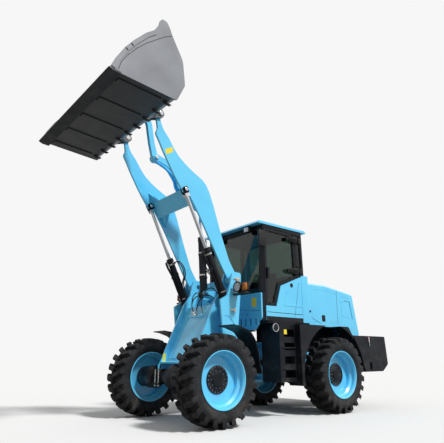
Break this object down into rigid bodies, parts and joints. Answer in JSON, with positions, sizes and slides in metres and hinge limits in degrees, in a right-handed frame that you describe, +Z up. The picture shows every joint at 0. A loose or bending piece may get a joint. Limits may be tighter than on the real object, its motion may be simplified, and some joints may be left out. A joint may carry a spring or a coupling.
{
  "type": "articulated wheel loader",
  "caption": "Compact articulated wheel loader with raised lift arms, level bucket, glazed cab, rear engine hood and four lugged wheels.",
  "frame": {"origin": "on the ground under the middle of the machine's length", "axes": "+X forward towards the bucket, +Y to the machine's left, +Z up"},
  "size_m": [5.9979, 2.53, 5.3582],
  "materials": {
    "blue_paint": "gloss machine paint",
    "black_paint": "satin black paint",
    "bucket_grey": "satin grey paint",
    "tyre": "matt rubber",
    "steel": "zinc plated",
    "chrome": "hard chrome",
    "glass": "green tint",
    "lamp_glass": "clear",
    "seat_fabric": "woven",
    "plastic": "grained"
  },
  "bodies": {
    "rear_frame": {"rear_frame": "blue_paint", "rear_axle": "black_paint", "engine": "black_paint", "counterweight": "black_paint", "rear_fenders": "black_paint", "step_boxes": "black_paint", "deck_plate": "black_paint", "cab_frame": "black_paint", "cab_roof": "blue_paint", "cab_glass": "glass", "cab_skirts": "blue_paint", "rear_shroud": "blue_paint", "door_hinges": "black_paint", "seat_base": "plastic", "seat_cushion": "seat_fabric", "steering_wheel": "plastic", "cab_fittings": "plastic", "rear_pins": "steel"},
    "front_frame": {"front_frame": "blue_paint", "front_axle": "black_paint", "front_pins": "steel", "front_fenders": "plastic", "headlamp_housings": "plastic", "front_lenses": "lamp_glass"},
    "boom": {"arm_left": "blue_paint", "arm_right": "blue_paint", "cross_member": "blue_paint", "bucket_pins": "steel", "bellcrank_pin": "steel"},
    "bucket": {"bucket_shell": "bucket_grey", "cutting_edge": "bucket_grey", "bucket_brackets": "bucket_grey", "link_pin": "steel"},
    "bellcrank": {"bellcrank": "blue_paint"},
    "bucket_link": {"bucket_link": "blue_paint"},
    "tilt_barrel": {"tilt_barrel": "black_paint"},
    "tilt_rod": {"tilt_rod": "chrome"},
    "left_door": {"door_frame": "black_paint", "door_glass": "glass"},
    "hood": {"hood": "blue_paint"},
    "wheel_front_left": {"tyre_front_left": "tyre", "rim_front_left": "blue_paint", "hub_front_left": "black_paint"},
    "wheel_front_right": {"tyre_front_right": "tyre", "rim_front_right": "blue_paint", "hub_front_right": "black_paint"},
    "wheel_rear_left": {"tyre_rear_left": "tyre", "rim_rear_left": "blue_paint", "hub_rear_left": "black_paint"},
    "wheel_rear_right": {"tyre_rear_right": "tyre", "rim_rear_right": "blue_paint", "hub_rear_right": "black_paint"},
    "lift_left_barrel": {"lift_left_barrel": "black_paint"},
    "steer_left_barrel": {"steer_left_barrel": "black_paint"},
    "lift_left_rod": {"lift_left_rod": "chrome"},
    "steer_left_rod": {"steer_left_rod": "chrome"},
    "lift_right_barrel": {"lift_right_barrel": "black_paint"},
    "steer_right_barrel": {"steer_right_barrel": "black_paint"},
    "lift_right_rod": {"lift_right_rod": "chrome"},
    "steer_right_rod": {"steer_right_rod": "chrome"}
  },
  "joints": [
    {"name": "articulation", "type": "hinge", "parent": "rear_frame", "child": "front_frame", "pos_m": [-0.195, 0, 0.8], "axis": [0, 0, 1], "range_deg": [-35, 35]},
    {"name": "wheel_front_left_spin", "type": "hinge", "parent": "front_frame", "child": "wheel_front_left", "pos_m": [1.05, 0.89, 0.585], "axis": [0, 1, 0], "continuous": true},
    {"name": "wheel_front_right_spin", "type": "hinge", "parent": "front_frame", "child": "wheel_front_right", "pos_m": [1.05, -0.89, 0.585], "axis": [0, 1, 0], "continuous": true},
    {"name": "wheel_rear_left_spin", "type": "hinge", "parent": "rear_frame", "child": "wheel_rear_left", "pos_m": [-1.44, 0.89, 0.585], "axis": [0, 1, 0], "continuous": true},
    {"name": "wheel_rear_right_spin", "type": "hinge", "parent": "rear_frame", "child": "wheel_rear_right", "pos_m": [-1.44, -0.89, 0.585], "axis": [0, 1, 0], "continuous": true},
    {"name": "boom_lift", "type": "hinge", "parent": "front_frame", "child": "boom", "pos_m": [0.39, 0, 2], "axis": [0, -1, 0], "range_deg": [-99, 0]},
    {"name": "bucket_tilt", "type": "hinge", "parent": "boom", "child": "bucket", "pos_m": [1.823, 0, 4.363], "axis": [0, 1, 0], "range_deg": [-144, 40]},
    {"name": "crank_turn", "type": "hinge", "parent": "boom", "child": "bellcrank", "pos_m": [1.05, 0, 3.56], "axis": [0, -1, 0], "range_deg": [-42, 12]},
    {"name": "link_turn", "type": "hinge", "parent": "bucket", "child": "bucket_link", "pos_m": [1.795, 0, 4.643], "axis": [0, -1, 0], "range_deg": [-122, 36]},
    {"name": "lift_left_swing", "type": "hinge", "parent": "front_frame", "child": "lift_left_barrel", "pos_m": [0.465, 0.5, 1.535], "axis": [0, -1, 0], "range_deg": [-97, 3]},
    {"name": "lift_left_stroke", "type": "slide", "parent": "lift_left_barrel", "child": "lift_left_rod", "axis": [0.4449, 0, 0.8956], "range_m": [-0.72, 0.005]},
    {"name": "lift_right_swing", "type": "hinge", "parent": "front_frame", "child": "lift_right_barrel", "pos_m": [0.465, -0.5, 1.535], "axis": [0, -1, 0], "range_deg": [-97, 3]},
    {"name": "lift_right_stroke", "type": "slide", "parent": "lift_right_barrel", "child": "lift_right_rod", "axis": [0.4449, 0, 0.8956], "range_m": [-0.72, 0.005]},
    {"name": "tilt_swing", "type": "hinge", "parent": "front_frame", "child": "tilt_barrel", "pos_m": [0.583, 0, 1.82], "axis": [0, -1, 0], "range_deg": [-104, 3]},
    {"name": "tilt_stroke", "type": "slide", "parent": "tilt_barrel", "child": "tilt_rod", "axis": [0.0557, 0, 0.9984], "range_m": [-0.4, 0.02]},
    {"name": "steer_left_swing", "type": "hinge", "parent": "rear_frame", "child": "steer_left_barrel", "pos_m": [-0.64, 0.225, 0.78], "axis": [0, 0, 1], "range_deg": [-20, 20]},
    {"name": "steer_left_stroke", "type": "slide", "parent": "steer_left_barrel", "child": "steer_left_rod", "axis": [0.9999, -0.0163, 0], "range_m": [-0.22, 0.22]},
    {"name": "steer_right_swing", "type": "hinge", "parent": "rear_frame", "child": "steer_right_barrel", "pos_m": [-0.64, -0.225, 0.78], "axis": [0, 0, 1], "range_deg": [-20, 20]},
    {"name": "steer_right_stroke", "type": "slide", "parent": "steer_right_barrel", "child": "steer_right_rod", "axis": [0.9999, 0.0163, 0], "range_m": [-0.22, 0.22]},
    {"name": "door_swing", "type": "hinge", "parent": "rear_frame", "child": "left_door", "pos_m": [-0.905, 0.714, 2.5], "axis": [0, 0, 1], "range_deg": [0, 80]},
    {"name": "hood_lift", "type": "hinge", "parent": "rear_frame", "child": "hood", "pos_m": [-2.478, 0, 1.268], "axis": [0, -1, 0], "range_deg": [0, 45]}
  ],
  "couplings": [
    {"joint": "crank_turn", "follows": "bucket_tilt", "ratio": 0.275},
    {"joint": "link_turn", "follows": "bucket_tilt", "ratio": 0.82},
    {"joint": "lift_left_swing", "follows": "boom_lift", "ratio": 0.97098},
    {"joint": "lift_left_stroke", "follows": "boom_lift", "m_per_rad": 0.41215},
    {"joint": "lift_right_swing", "follows": "boom_lift", "ratio": 0.97098},
    {"joint": "lift_right_stroke", "follows": "boom_lift", "m_per_rad": 0.41215},
    {"joint": "tilt_swing", "follows": "boom_lift", "ratio": 1.0335},
    {"joint": "tilt_stroke", "follows": "boom_lift", "m_per_rad": 0.2274},
    {"joint": "steer_left_swing", "follows": "articulation", "ratio": 0.25302},
    {"joint": "steer_left_stroke", "follows": "articulation", "m_per_rad": -0.21205},
    {"joint": "steer_right_swing", "follows": "articulation", "ratio": 0.25302},
    {"joint": "steer_right_stroke", "follows": "articulation", "m_per_rad": 0.21205}
  ]
}
